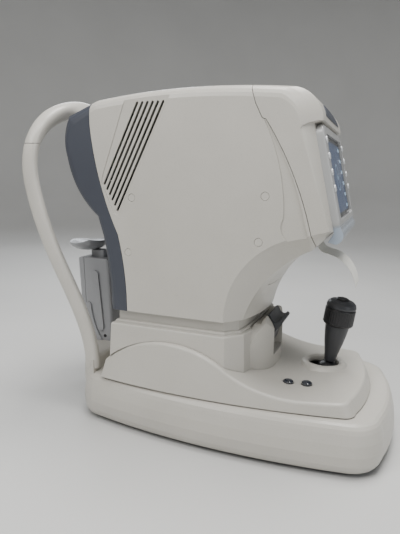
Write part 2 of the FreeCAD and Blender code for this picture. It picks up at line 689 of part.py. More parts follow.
def height_ring():
    """Knurled ring around the grip's core."""
    ring = turned([(13.4, 98.2), (19.4, 98.2), (20.6, 100.0), (20.6, 120.2), (19.8, 121.9),
                   (13.4, 121.9)], GRIP_ZERO)
    cuts = []
    for i in range(36):
        groove = rod((STICK[0] + 21.3, STICK[1], GRIP_ZERO[2] + 101.0), (0, 0, 1), 1.1, 18.5)
        groove.rotate(vec(*STICK), vec(0, 0, 1), 10.0 * i)
        cuts.append(groove)
    return leaned(ring.cut(group(cuts)))


def measure_button():
    button = turned([(0, 129.4), (9.0, 129.4), (9.0, 134.0), (7.8, 135.4), (4.5, 136.4),
                     (0, 136.7)], GRIP_ZERO)
    return leaned(button)


# ---- head ------------------------------------------------------------------------

def screen_point(depth, rise):
    """Side-view point at a depth in front of the display's back and a rise along it."""
    tilt = math.radians(SCREEN_TILT)
    depth -= SCREEN_DEEP
    return (SCREEN_MID[0] + depth * math.cos(tilt) - rise * math.sin(tilt),
            SCREEN_MID[1] + depth * math.sin(tilt) + rise * math.cos(tilt))


def blend_at(y, low, high):
    """0 up to low, rising evenly to 1 at high."""
    return min(1.0, max(0.0, (y - low) / (high - low)))


def mix(a, b, share):
    return (a[0] + (b[0] - a[0]) * share, a[1] + (b[1] - a[1]) * share)


def head_section(y):
    """Side view of the head in the plane at distance y from the centre plane."""
    crown = 3.5 * (1 - (y / HEAD_HALF) ** 2)
    bow = 5.0 * (1 - (y / HEAD_HALF) ** 2)
    reach = max(0.0, y - (HEAD_HALF - HEAD_ROUND))
    drop = HEAD_ROUND - math.sqrt(max(0.0, HEAD_ROUND ** 2 - reach ** 2))
    top = HEAD_TOP_Z + crown - drop
    front = drop - bow + 2.0
    bulge = 1 - blend_at(y, 0, SIDE_FLAT) ** 2
    side = blend_at(y, SIDE_FLAT, HEAD_HALF)
    face = blend_at(y, HEAD_HALF - HEAD_ROUND, HEAD_HALF)
    brow_in = screen_point(0.0, 63.5)
    brow_out = screen_point(0.8 + 9.7 * (1 - face), 64.5)
    brow_in = (brow_in[0] - 13.0 * face, brow_in[1] - 0.6 * drop)
    brow_out = (brow_out[0] - 13.0 * face, brow_out[1] - 0.6 * drop)
    low = screen_point(0.0, -58.0)
    low = (low[0] - 3.0 * face, low[1] + 2.0 * side)
    under = mix((143.0, 258.5), (139.0, 276.0), side)
    bend = mix((90.0 + 7.0 * bulge, 218.0 - 2.0 * bulge), (69.0, 238.5), side)
    neck = 62.0 + 15.0 * bulge - 19.0 * side
    return outline((-120.0 + front, HEAD_Z), (neck, HEAD_Z), (bend, under), low, brow_in, brow_out,
                   ((brow_out[0] - 6.5, brow_out[1] + 19.0),
                    (brow_out[0] - 31.0 + 7.0 * face, top - 5.5)),
                   ((-10.0, top), (-133.0, top - 9.5)), (-179.0 + front, top - 27.0),
                   ((-186.5 + front, 394.0), (-184.0 + front, 364.0)),
                   ((-168.5 + front, 322.0), (-139.0 + front, 288.0)), (-131.0 + front, 262.0),
                   ((-122.5 + front, 212.0), (-120.0 + front, HEAD_Z)))


def head_solid(wall):
    """Outer body of the head, or its cavity when wall is the cover thickness."""
    flats = [SIDE_FLAT * share for share in (0.0, 0.28, 0.52, 0.76, 1.0)]
    steps = [HEAD_HALF - HEAD_ROUND * (1 - math.sin(math.radians(a))) for a in (0, 25, 48, 68, 90)]
    distances = flats + steps
    scale = (HEAD_HALF - wall) / HEAD_HALF
    sections = []
    for d in [-d for d in distances[::-1]] + distances[1:]:
        section = head_section(abs(d))
        if wall:
            section = inset(section, wall)
        sections.append((section, at_y(d * scale)))
    solid = stack(sections)
    if wall:
        throat = inset(plan(-120.0, [(-119.5, -104.0), (42.0, -104.0), (62.0, -84.0)], 76.0), wall)
        solid = fused([solid, upright(throat, HEAD_Z - 5.0, HEAD_Z + wall + 2.0)])
    return solid


FRONT_REGION = outline((-260.0, 480.0), (-142.0, 480.0), (-142.0, 405.0),
                       ((-129.5, 336.0), (-103.5, 266.0)), ((-95.5, 225.0), (-91.5, 160.0)),
                       (-91.0, 130.0), (-260.0, 130.0))
REAR_REGION = outline((68.0, 480.0), (70.0, 440.0), (76.0, 422.0), (84.0, 406.0), (88.0, 405.0),
                      ((120.5, 346.0), (147.5, 262.0)), (150.0, 240.0), (260.0, 240.0),
                      (260.0, 480.0))
COVER_REGION = outline((60.0, 226.0), (86.0, 207.5), (150.0, 200.0), (146.0, 236.0),
                       (127.0, 261.0), (100.0, 252.0))


def vent_lines():
    """Centre lines of the slanted vent slots on a side cover, top and bottom points."""
    lines = []
    for i in range(6):
        top = (-73.0 + 7.0 * i, 428.5)
        length = 109.0 + 7.4 * i
        slant = math.radians(26.5)
        lines.append((top, (top[0] - length * math.sin(slant), top[1] - length * math.cos(slant))))
    return lines


def slot_prism(top, bottom, half, y_low, y_high):
    dx, dz = unit((bottom[0] - top[0], bottom[1] - top[1]))
    nx, nz = -dz * half, dx * half
    shape = outline((top[0] + nx, top[1] + nz), (bottom[0] + nx, bottom[1] + nz),
                    ((bottom[0] + dx * half, bottom[1] + dz * half),
                     (bottom[0] - nx, bottom[1] - nz)), (top[0] - nx, top[1] - nz),
                    ((top[0] - dx * half, top[1] - dz * half), (top[0] + nx, top[1] + nz)))
    return across(shape, y_low, y_high)


def side_details():
    """What is cut from the near side cover: vents, their sunk panel, plugs and the scoop."""
    near = -HEAD_HALF
    panel = outline((-83.0, 452.0), (-21.0, 452.0), (-101.0, 290.0), (-109.0, 294.0),
                    (-125.5, 333.0), (-124.5, 340.0))
    cuts = [across(panel, near - 5.0, near + 0.9)]
    for top, bottom in vent_lines():
        cuts.append(slot_prism(top, bottom, 1.6, near - 5.0, near + WALL + 2.0))
    for x, z in PLUGS:
        cuts.append(rod((x, near - 5.0, z), (0, 1, 0), 5.0, WALL + 10.0))
    scoop = outline((84.0, 408.0), ((104.0, 357.0), (112.0, 296.0)), ((116.0, 271.0), (128.0, 266.0)),
                    ((137.0, 270.0), (137.5, 284.0)), ((118.0, 346.0), (84.0, 408.0)))
    slope = outline((80.0, near - 5.0), (140.0, near - 5.0), (140.0, near + 2.2), (80.0, near + 0.6))
    cuts.append(across(scoop, near - 6.0, near + 6.0).common(upright(slope, 260.0, 410.0)))
    return cuts


def head_covers():
    """Front bezel, two side covers, back cover and printer cover from one hollow body."""
    shell = head_solid(0.0).cut(head_solid(WALL))
    below = box(-300, 300, -200, 200, 0, HEAD_Z)
    shell = shell.cut(below)
    front = shell.common(across(FRONT_REGION, -150.0, 150.0))
    rear = shell.common(across(REAR_REGION, -150.0, 150.0))
    middle = shell.cut(across(inset(FRONT_REGION, -SEAM), -150.0, 150.0))
    middle = middle.cut(across(inset(REAR_REGION, -SEAM), -150.0, 150.0))
    printer = middle.common(across(COVER_REGION, -COVER_HALF, COVER_HALF))
    middle = middle.cut(across(inset(COVER_REGION, -0.8), -COVER_HALF - 0.8, COVER_HALF + 0.8))
    near = middle.common(box(-300, 300, -200, -SEAM / 2, 0, 600))
    for tool in side_details() + [paper_ribbon(3.0, 29.5)]:
        near = near.cut(tool)
    glass = rod((-220.0, 0.0, EYE_Z), (1, 0, 0), 33.0, 60.0)
    front = front.cut(glass)
    return front, near, mirrored(near), rear, printer


def cover_plugs():
    plugs = []
    for x, z in PLUGS:
        plug = rod((x, -HEAD_HALF + 0.35, z), (0, 1, 0), 4.7, WALL)
        plugs += both_sides(plug)
    return group(plugs)


def measuring_window():
    return rod((-182.5, 0.0, EYE_Z), (1, 0, 0), 32.6, 2.0)


def screen_place(depth):
    """Places (Y, rise) points on a plane parallel to the display."""
    def place(p):
        x, z = screen_point(depth, p[1])
        return vec(x, p[0], z)
    return place


def screen_prism(pieces, depth_low, depth_high):
    tilt = math.radians(SCREEN_TILT)
    thick = depth_high - depth_low
    normal = vec(math.cos(tilt) * thick, 0, math.sin(tilt) * thick)
    return Part.Face(wire(pieces, screen_place(depth_low))).extrude(normal)


def rounded_box(half, low, high, radius):
    """Round-cornered rectangle in the display's own (Y, rise) plane."""
    near = radius * (1 - math.sqrt(0.5))
    return outline((-half + radius, low), (half - radius, low),
                   ((half - near, low + near), (half, low + radius)), (half, high - radius),
                   ((half - near, high - near), (half - radius, high)), (-half + radius, high),
                   ((-half + near, high - near), (-half, high - radius)), (-half, low + radius),
                   ((-half + near, low + near), (-half + radius, low)))


def lcd_frame():
    """Display surround with a rolled lip below."""
    plate = screen_prism(rounded_box(SCREEN_HALF, -58.0, 62.0, 12.0), 0.0, SCREEN_DEEP)
    front = [f for f in plate.Faces if f.CenterOfMass.x > SCREEN_MID[0] - 4.0]
    outer = max(front, key=lambda f: f.Area)
    plate = plate.makeFillet(3.0, outer.Edges)
    start = screen_point(0.0, -59.0)
    lip = outline(start, screen_point(0.0, -50.0), screen_point(8.6, -50.0),
                  screen_point(8.6, -57.0), ((176.5, 274.0), (169.5, 267.5)), (160.5, 269.5))
    lip = across(lip, -SCREEN_HALF + 3.0, SCREEN_HALF - 3.0)
    frame = fused([plate, lip]).cut(head_solid(0.0))
    opening = screen_prism(rounded_box(77.0, -46.0, 52.0, 5.0), 2.0, 20.0)
    frame = frame.cut(opening)
    holes = []
    for rise in KEY_RISES:
        for y in (-KEY_Y, KEY_Y):
            holes.append(key_rod(y, rise, 4.6, 1.5, 20.0))
    return frame.cut(group(holes))


def key_rod(y, rise, radius, depth_low, depth_high):
    x, z = screen_point(depth_low, rise)
    tilt = math.radians(SCREEN_TILT)
    return rod((x, y, z), (math.cos(tilt), 0, math.sin(tilt)), radius, depth_high - depth_low)


def lcd_screen():
    return screen_prism(rounded_box(76.6, -45.6, 51.6, 4.6), 2.0, 6.0)


def screen_key(y, rise):
    cap = key_rod(y, rise, 4.1, 3.0, SCREEN_DEEP + 1.6)
    top = max(cap.Edges, key=lambda e: e.CenterOfMass.x)
    return cap.makeFillet(1.2, [top])


def head_frame():
    """Chassis: a floor that rides on the lift guides, two cheeks and the optics shelf."""
    floor = box(-92.0, 46.0, -70.0, 70.0, 206.0, 212.0)
    cheeks = [box(-80.0, 40.0, y, y + 4.0, 212.0, 322.0) for y in (-70.0, 66.0)]
    shelf = box(-95.0, 70.0, -70.0, 70.0, 322.0, 327.0)
    bosses = [rod((LIFT_X, y, 212.0), (0, 0, 1), 11.0, 24.0) for y in (-GUIDE_Y, 0, GUIDE_Y)]
    frame = fused([floor, shelf] + cheeks + bosses)
    for y in (-GUIDE_Y, GUIDE_Y):
        frame = frame.cut(rod((LIFT_X, y, 200.0), (0, 0, 1), GUIDE_R + RUN_FIT, 100.0))
    return frame.cut(rod((LIFT_X, 0, 200.0), (0, 0, 1), 5.0 + RUN_FIT, 100.0))


def optics_barrel():
    """Objective tube and its saddle on the shelf."""
    tube = rod((-150.0, 0, EYE_Z), (1, 0, 0), 27.0, 100.0)
    tube = tube.cut(rod((-151.0, 0, EYE_Z), (1, 0, 0), 23.5, 102.0))
    saddle = box(-92.0, -56.0, -22.0, 22.0, 327.0, EYE_Z - 24.0)
    return fused([tube, saddle])


def objective_lens():
    ball = Part.makeSphere(60.0, vec(-90.0, 0, EYE_Z))
    lens = ball.common(rod((-150.0, 0, EYE_Z), (1, 0, 0), 23.3, 12.0))
    return lens


def led_ring():
    ring = rod((-156.0, 0, EYE_Z), (1, 0, 0), 31.0, 5.5)
    ring = ring.cut(rod((-160.0, 0, EYE_Z), (1, 0, 0), 21.0, 12.0))
    lamps = []
    for i in range(12):
        angle = math.radians(30 * i)
        at = (-157.5, 26.0 * math.cos(angle), EYE_Z + 26.0 * math.sin(angle))
        lamps.append(rod(at, (1, 0, 0), 2.2, 2.0))
    return fused([ring] + lamps)


def camera_module():
    case = box(-48.0, -12.0, -20.0, 20.0, 327.0, EYE_Z + 20.0)
    nose = rod((-49.8, 0, EYE_Z), (1, 0, 0), 15.0, 4.0)
    return fused([case, nose])


def target_carriage():
    """Fixation target that slides along the optical axis on the shelf."""
    sled = box(4.0, 34.0, -18.0, 18.0, 327.6, 338.0)
    mast = box(14.0, 22.0, -12.0, 12.0, 338.0, EYE_Z + 12.0)
    return fused([sled, mast]).cut(rod((0, 0, EYE_Z), (1, 0, 0), 8.0, 40.0))


def paper_roll():
    roll = rod((PAPER_ROLL[0], -28.5, PAPER_ROLL[1]), (0, 1, 0), 22.0, 57.0)
    return roll.cut(rod((PAPER_ROLL[0], -30.0, PAPER_ROLL[1]), (0, 1, 0), 5.0, 60.0))


def printer_unit():
    """Thermal printer: two cheeks with the roll spindle, and the print head block."""
    cheeks = [box(64.0, 120.0, y, y + 3.0, 256.0, 300.0) for y in (-34.0, 31.0)]
    spindle = rod((PAPER_ROLL[0], -31.0, PAPER_ROLL[1]), (0, 1, 0), 5.0 - RUN_FIT, 62.0)
    head = box(119.0, 132.0, -34.0, 34.0, 268.0, 300.0)
    hanger = box(64.0, 69.9, -34.0, 34.0, 296.0, 322.0)
    return fused(cheeks + [spindle, head, hanger])


STRIP_LINE = [(141.0, 262.0), (147.0, 250.0), (158.0, 246.5), (172.0, 240.0), (184.0, 226.0),
              (191.0, 206.0)]


def paper_ribbon(thick, half):
    """Printed strip that leaves its slot and curls down, or the wider slot cut for it."""
    edges = []
    for offset in (thick / 2, -thick / 2):
        curve = Part.BSplineCurve()
        curve.interpolate([vec(x + offset, -half, z + offset) for x, z in STRIP_LINE])
        edges.append(curve)
    upper, lower = edges
    ends = [Part.LineSegment(upper.value(upper.LastParameter), lower.value(lower.LastParameter)),
            Part.LineSegment(lower.value(lower.FirstParameter), upper.value(upper.FirstParameter))]
    profile = Part.Wire([upper.toShape(), ends[0].toShape(), lower.toShape(), ends[1].toShape()])
    return Part.Face(profile).extrude(vec(0, 2 * half, 0))


# ---- write every piece -----------------------------------------------------------

def all_parts():
    near_leg, far_leg, arch = headrest_parts()
    front, near, far, rear, printer = head_covers()
    parts = {
        "base_cover": base_cover([near_leg, far_leg]), "base_plate": base_plate(),
        "rubber_feet": rubber_feet(),
        "drive_racks": drive_racks(), "power_inlet": power_inlet(),
        "power_switch": power_switch(), "power_supply": power_supply(),
        "main_board": main_board(), "headrest_leg_left": near_leg,
        "headrest_leg_right": far_leg, "headrest_arch": arch, "forehead_pad": forehead_pad(arch),
        "chin_column": chin_column(), "chin_motor": chin_motor(), "chin_screw": chin_screw(),
        "chin_post": chin_post(), "chin_cup": chin_cup(), "shaft_carrier": shaft_carrier(),
        "cross_shaft": cross_shaft(), "pinion_wheels": pinion_wheels(),
        "stage_cover": stage_cover(), "stage_frame": stage_frame(),
        "neck_collar": neck_collar(), "lock_lever": lock_lever(),
        "lift_guides": lift_guides(), "lift_motor": lift_motor(), "lift_screw": lift_screw(),
        "chin_up_button": chin_button(CHIN_BUTTONS[0]),
        "chin_down_button": chin_button(CHIN_BUTTONS[1]), "gimbal_ring": gimbal_ring(),
        "joystick_shaft": joystick_shaft(), "joystick_grip": joystick_grip(), "height_ring": height_ring(),
        "measure_button": measure_button(), "front_bezel": front, "left_side_cover": near,
        "right_side_cover": far, "back_cover": rear, "printer_cover": printer,
        "cover_plugs": cover_plugs(), "measuring_window": measuring_window(),
        "lcd_frame": lcd_frame(), "lcd_screen": lcd_screen(), "head_frame": head_frame(),
        "optics_barrel": optics_barrel(), "objective_lens": objective_lens(),
        "led_ring": led_ring(), "camera_module": camera_module(),
        "target_carriage": target_carriage(), "printer_unit": printer_unit(),
        "paper_roll": paper_roll(), "paper_strip": paper_ribbon(0.4, 28.0),
    }
    for side, y in (("left", -KEY_Y), ("right", KEY_Y)):
        for index, rise in enumerate(KEY_RISES):
            parts["key_%s_%d" % (side, index + 1)] = screen_key(y, rise)
    return parts


os.makedirs("parts", exist_ok=True)
for name, shape in all_parts().items():
    shape.exportStep("parts/%s.step" % name)
    solids = len(shape.Solids)
    print("%-20s solids %2d  valid %s  volume %.1f cm3" % (name, solids, shape.isValid(),
                                                          shape.Volume / 1000))
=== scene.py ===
"""Looks for the table-top autorefractor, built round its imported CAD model."""
import json
import math

import bmesh
import bpy
from mathutils import Matrix, Vector
from mathutils.bvhtree import BVHTree


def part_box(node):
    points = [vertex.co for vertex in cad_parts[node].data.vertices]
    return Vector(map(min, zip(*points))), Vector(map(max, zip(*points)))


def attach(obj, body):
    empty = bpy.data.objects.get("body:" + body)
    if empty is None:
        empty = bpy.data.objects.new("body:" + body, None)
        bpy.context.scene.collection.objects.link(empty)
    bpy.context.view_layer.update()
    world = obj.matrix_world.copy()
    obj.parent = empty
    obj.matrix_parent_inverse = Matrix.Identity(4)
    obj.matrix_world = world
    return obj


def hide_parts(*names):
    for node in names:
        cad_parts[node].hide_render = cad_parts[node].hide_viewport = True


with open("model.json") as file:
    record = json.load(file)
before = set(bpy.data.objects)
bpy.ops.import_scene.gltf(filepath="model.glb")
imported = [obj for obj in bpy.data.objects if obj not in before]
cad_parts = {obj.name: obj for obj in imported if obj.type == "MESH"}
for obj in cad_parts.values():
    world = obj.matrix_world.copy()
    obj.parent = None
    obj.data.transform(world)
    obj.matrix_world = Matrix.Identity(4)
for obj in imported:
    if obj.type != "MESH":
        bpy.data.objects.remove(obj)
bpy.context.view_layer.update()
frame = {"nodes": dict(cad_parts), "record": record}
NODES = frame["nodes"]

SCREEN_TILT = math.radians(13.0)     # lean of the display
LAMPS = 12                           # lamps round the objective
LAMP_RING = 0.026                    # radius of their circle
EYE_Z = 0.366                        # height of the optical axis
WINDOW_FACE_X = -0.1825              # front of the measuring window
LAMP_FACE_X = -0.1575                # front of the lamps
PAD_CAP = 0.0025                     # the most a point of the pad may move in the simulation
PAD_START = 0.94                     # size of the pad before the simulation swells it
LIP_DROP = 0.0555                    # from the display's middle down to its rolled lip

# The display's drawing and the blue field of painted reflection under it, measured from its
# middle.
RING_RADIUS, RING_HALF = 0.016, 0.0008
FIELD_HALF_WIDE, FIELD_HALF_HIGH = 0.070, 0.043
BAR_START = 0.0500                   # the bars lie outside this distance across
BAR_PITCH = 0.0075

# The camera's place, the directions of its right and back, and its lens.
CAMERA_AT = (0.2226, -0.6462, 0.340)
CAMERA_RIGHT = Vector((0.93106, 0.36466, 0.01219))
CAMERA_BACK = Vector((0.35652, -0.91636, 0.18214))
LENS_MM, SENSOR_MM = 32.53, 36.0

# Area lights: place, target, size, power and colour.
LIGHTS = {
    "key": ((-0.9, -1.5, 1.5), (0, 0, 0.25), (0.9, 0.7), 14.0, (1.0, 0.98, 0.95)),
    "strip": ((0.05, -0.62, 1.05), (0.02, -0.05, 0.3), (0.9, 0.25), 5.5, (1.0, 0.99, 0.97)),
    "fill": ((1.6, -0.8, 0.8), (0, 0, 0.2), (0.5, 0.9), 5.0, (0.94, 0.97, 1.0)),
    "top": ((0.25, 0.1, 1.9), (0, 0, 0.2), (1.1, 0.8), 38.0, (1.0, 0.99, 0.97)),
    "rear": ((-1.0, 1.3, 1.2), (0, 0, 0.25), (0.8, 0.8), 9.0, (0.9, 0.95, 1.0)),
}
WORLD_COLOUR, WORLD_STRENGTH = (0.88, 0.90, 0.93, 1.0), 0.16

# Half section of the round floor: radius and height.
FLOOR_EDGE = [(0.0, 0.0), (1.2, 0.0), (2.0, 0.0), (2.5, 0.05), (2.9, 0.22), (3.15, 0.55),
              (3.25, 1.1), (3.28, 2.2)]
FLOOR_DROP = 0.0002                  # keeps the floor just under the feet

# ---- looks -----------------------------------------------------------------------


class Look:
    """A node material with short calls for wiring it."""

    def __init__(self, name):
        self.material = bpy.data.materials.new(name)
        self.material.use_nodes = True
        self.tree = self.material.node_tree
        self.tree.nodes.clear()
        self.shader = self.node("ShaderNodeBsdfPrincipled")
        output = self.node("ShaderNodeOutputMaterial")
        self.link(self.shader.outputs["BSDF"], output.inputs["Surface"])
        self.place = self.node("ShaderNodeTexCoord").outputs["Object"]

    def node(self, kind, **settings):
        made = self.tree.nodes.new(kind)
        for key, value in settings.items():
            setattr(made, key, value)
        return made

    def link(self, start, end):
        self.tree.links.new(start, end)

    def stretched(self, factors):
        """Object coordinates with each axis scaled, for grain that runs one way."""
        mapping = self.node("ShaderNodeMapping")
        mapping.inputs["Scale"].default_value = factors
        self.link(self.place, mapping.inputs["Vector"])
        return mapping.outputs["Vector"]

    def noise(self, scale, detail=2.0, place=None, roughness=0.5):
        made = self.node("ShaderNodeTexNoise")
        made.inputs["Scale"].default_value = scale
        made.inputs["Detail"].default_value = detail
        made.inputs["Roughness"].default_value = roughness
        self.link(place or self.place, made.inputs["Vector"])
        return made.outputs["Fac"]

    def ranged(self, value, low, high, to_low=0.0, to_high=1.0):
        made = self.node("ShaderNodeMapRange")
        for key, number in (("From Min", low), ("From Max", high),
                            ("To Min", to_low), ("To Max", to_high)):
            made.inputs[key].default_value = number
        self.link(value, made.inputs["Value"])
        return made.outputs["Result"]

    def math(self, operation, first, second):
        made = self.node("ShaderNodeMath", operation=operation)
        for socket, value in zip(made.inputs, (first, second)):
            if isinstance(value, (int, float)):
                socket.default_value = value
            else:
                self.link(value, socket)
        return made.outputs["Value"]

    def mix(self, share, first, second):
        made = self.node("ShaderNodeMix", data_type="RGBA")
        self.link(share, made.inputs["Factor"])
        for key, value in (("A", first), ("B", second)):
            socket = next(s for s in made.inputs if s.name == key and s.type == "RGBA")
            if isinstance(value, tuple):
                socket.default_value = (*value, 1.0)
            else:
                self.link(value, socket)
        return next(s for s in made.outputs if s.type == "RGBA")

    def bump(self, height, strength, distance, normal=None):
        made = self.node("ShaderNodeBump")
        made.inputs["Strength"].default_value = strength
        made.inputs["Distance"].default_value = distance
        self.link(height, made.inputs["Height"])
        if normal is not None:
            self.link(normal, made.inputs["Normal"])
        return made.outputs["Normal"]

    def rounded(self, radius):
        """Softened edge normals, and a mask that is 1 on the edges themselves."""
        bevel = self.node("ShaderNodeBevel", samples=6)
        bevel.inputs["Radius"].default_value = radius
        true_normal = self.node("ShaderNodeNewGeometry").outputs["Normal"]
        dot = self.node("ShaderNodeVectorMath", operation="DOT_PRODUCT")
        self.link(bevel.outputs["Normal"], dot.inputs[0])
        self.link(true_normal, dot.inputs[1])
        mask = self.ranged(dot.outputs["Value"], 0.995, 0.90)
        return bevel.outputs["Normal"], mask

    def finish(self, colour, roughness, normal=None):
        for socket, value in (("Base Color", colour), ("Roughness", roughness),
                              ("Normal", normal)):
            if value is not None:
                self.link(value, self.shader.inputs[socket])
        return self.material


def shade(colour, factor):
    return tuple(min(1.0, c * factor) for c in colour)


def moulded(name, colour, roughness, grain=0.25, mottle=0.04, wear=1.12, edge=0.0007,
            coat=0.0, speckle=0.0, grain_size=0.0006):
    """Textured moulded plastic: mottled colour, fine grain, and slightly polished edges."""
    look = Look(name)
    soft = look.noise(14.0, 3.0)
    base = look.mix(look.ranged(soft, 0.3, 0.7), shade(colour, 1 - mottle),
                    shade(colour, 1 + mottle))
    fine = look.noise(1.0 / grain_size, 2.0)
    base = look.mix(look.ranged(fine, 0.35, 0.65, 0.0, 0.35), base, shade(colour, 0.93))
    if speckle:
        specks = look.noise(700.0, 1.0)
        base = look.mix(look.ranged(specks, 0.62, 0.70, 0.0, speckle), base, shade(colour, 0.45))
    normal, mask = look.rounded(edge)
    base = look.mix(look.math("MULTIPLY", mask, 0.55), base, shade(colour, wear))
    rough = look.ranged(look.noise(60.0, 3.0), 0.3, 0.7, roughness - 0.05, roughness + 0.06)
    rough = look.math("SUBTRACT", rough, look.math("MULTIPLY", mask, 0.08))
    look.shader.inputs["Coat Weight"].default_value = coat
    look.shader.inputs["Coat Roughness"].default_value = 0.12
    normal = look.bump(fine, grain, 0.00012, normal)
    return look.finish(base, rough, normal)


def metal(name, colour, roughness, grain=(40.0, 4000.0, 4000.0), edge=0.0005):
    """Ground or brushed metal with lines along one axis."""
    look = Look(name)
    lines = look.noise(1.0, 3.0, look.stretched(grain))
    cloud = look.noise(35.0, 3.0)
    base = look.mix(look.ranged(cloud, 0.3, 0.7), shade(colour, 0.9), shade(colour, 1.05))
    base = look.mix(look.ranged(lines, 0.4, 0.7, 0.0, 0.3), base, shade(colour, 0.75))
    normal, mask = look.rounded(edge)
    base = look.mix(look.math("MULTIPLY", mask, 0.5), base, shade(colour, 1.2))
    rough = look.ranged(lines, 0.3, 0.7, roughness - 0.08, roughness + 0.1)
    look.shader.inputs["Metallic"].default_value = 1.0
    return look.finish(base, rough, look.bump(lines, 0.25, 0.0001, normal))


def rubber(name, colour, roughness=0.75):
    look = Look(name)
    grain = look.noise(1800.0, 3.0)
    dust = look.noise(90.0, 4.0)
    base = look.mix(look.ranged(grain, 0.3, 0.7), shade(colour, 0.85), shade(colour, 1.15))
    base = look.mix(look.ranged(dust, 0.55, 0.8, 0.0, 0.35), base, shade(colour, 1.9))
    normal, mask = look.rounded(0.0008)
    base = look.mix(look.math("MULTIPLY", mask, 0.4), base, shade(colour, 1.5))
    rough = look.ranged(dust, 0.3, 0.7, roughness - 0.08, roughness + 0.1)
    return look.finish(base, rough, look.bump(grain, 0.35, 0.00015, normal))


def glass(name, colour, roughness, tint):
    """Coated optical glass: tinted body, smooth coat with faint smears."""
    look = Look(name)
    smear = look.noise(25.0, 4.0)
    base = look.mix(look.ranged(smear, 0.35, 0.65), colour, tint)
    rough = look.ranged(smear, 0.3, 0.7, roughness, roughness + 0.06)
    look.shader.inputs["Transmission Weight"].default_value = 0.55
    look.shader.inputs["IOR"].default_value = 1.5
    look.shader.inputs["Coat Weight"].default_value = 1.0
    look.shader.inputs["Coat Roughness"].default_value = 0.03
    look.shader.inputs["Coat Tint"].default_value = (0.75, 0.82, 1.0, 1.0)
    return look.finish(base, rough, look.bump(smear, 0.03, 0.0002))


def paper(name, colour):
    look = Look(name)
    fibres = look.noise(1.0, 4.0, look.stretched((900.0, 2600.0, 900.0)))
    cloud = look.noise(30.0, 2.0)
    base = look.mix(look.ranged(cloud, 0.3, 0.7), shade(colour, 0.95), shade(colour, 1.03))
    base = look.mix(look.ranged(fibres, 0.5, 0.75, 0.0, 0.25), base, shade(colour, 0.88))
    look.shader.inputs["Sheen Weight"].default_value = 0.15
    rough = look.ranged(fibres, 0.3, 0.7, 0.7, 0.85)
    return look.finish(base, rough, look.bump(fibres, 0.2, 0.0001))


def circuit_board(name):
    """Green solder mask with lighter tracks and scattered gilt pads."""
    look = Look(name)
    cells = look.node("ShaderNodeTexVoronoi", feature="DISTANCE_TO_EDGE", distance="MANHATTAN")
    cells.inputs["Scale"].default_value = 160.0
    look.link(look.place, cells.inputs["Vector"])
    tracks = look.ranged(cells.outputs["Distance"], 0.02, 0.05)
    base = look.mix(tracks, (0.12, 0.32, 0.16), (0.015, 0.13, 0.06))
    pads = look.noise(420.0, 0.0)
    base = look.mix(look.ranged(pads, 0.68, 0.70), base, (0.62, 0.52, 0.25))
    look.shader.inputs["Coat Weight"].default_value = 0.5
    rough = look.ranged(pads, 0.3, 0.7, 0.35, 0.5)
    return look.finish(base, rough, look.bump(tracks, 0.3, 0.0001))


def screen_axes(look):
    """Object coordinates along the display: across it (Y) and up its face."""
    split = look.node("ShaderNodeSeparateXYZ")
    look.link(look.place, split.inputs["Vector"])
    x, y, z = split.outputs
    up = look.math("ADD", look.math("MULTIPLY", z, math.cos(SCREEN_TILT)),
                   look.math("MULTIPLY", x, -math.sin(SCREEN_TILT)))
    return y, up


def display_surround(name, colour, lip_painted_reflection, lip_top):
    """Grey surround whose rolled lower lip is glossier and carries a painted bluish reflection."""
    look = Look(name)
    _, up = screen_axes(look)
    fine = look.noise(1500.0, 2.0)
    cloud = look.noise(18.0, 3.0)
    base = look.mix(look.ranged(cloud, 0.3, 0.7), shade(colour, 0.95), shade(colour, 1.05))
    lip = look.ranged(up, lip_top + 0.002, lip_top - 0.002)
    # painted reflection: the rolled lip is tinted bluish to stand for a reflection, and is also
    # made glossier below
    base = look.mix(lip, base, lip_painted_reflection)
    normal, mask = look.rounded(0.0008)
    base = look.mix(look.math("MULTIPLY", mask, 0.5), base, shade(colour, 1.2))
    rough = look.ranged(cloud, 0.3, 0.7, 0.30, 0.38)
    rough = look.math("SUBTRACT", rough, look.math("MULTIPLY", lip, 0.2))
    look.shader.inputs["Coat Weight"].default_value = 0.45
    look.shader.inputs["Coat Roughness"].default_value = 0.08
    return look.finish(base, rough, look.bump(fine, 0.08, 0.0001, normal))


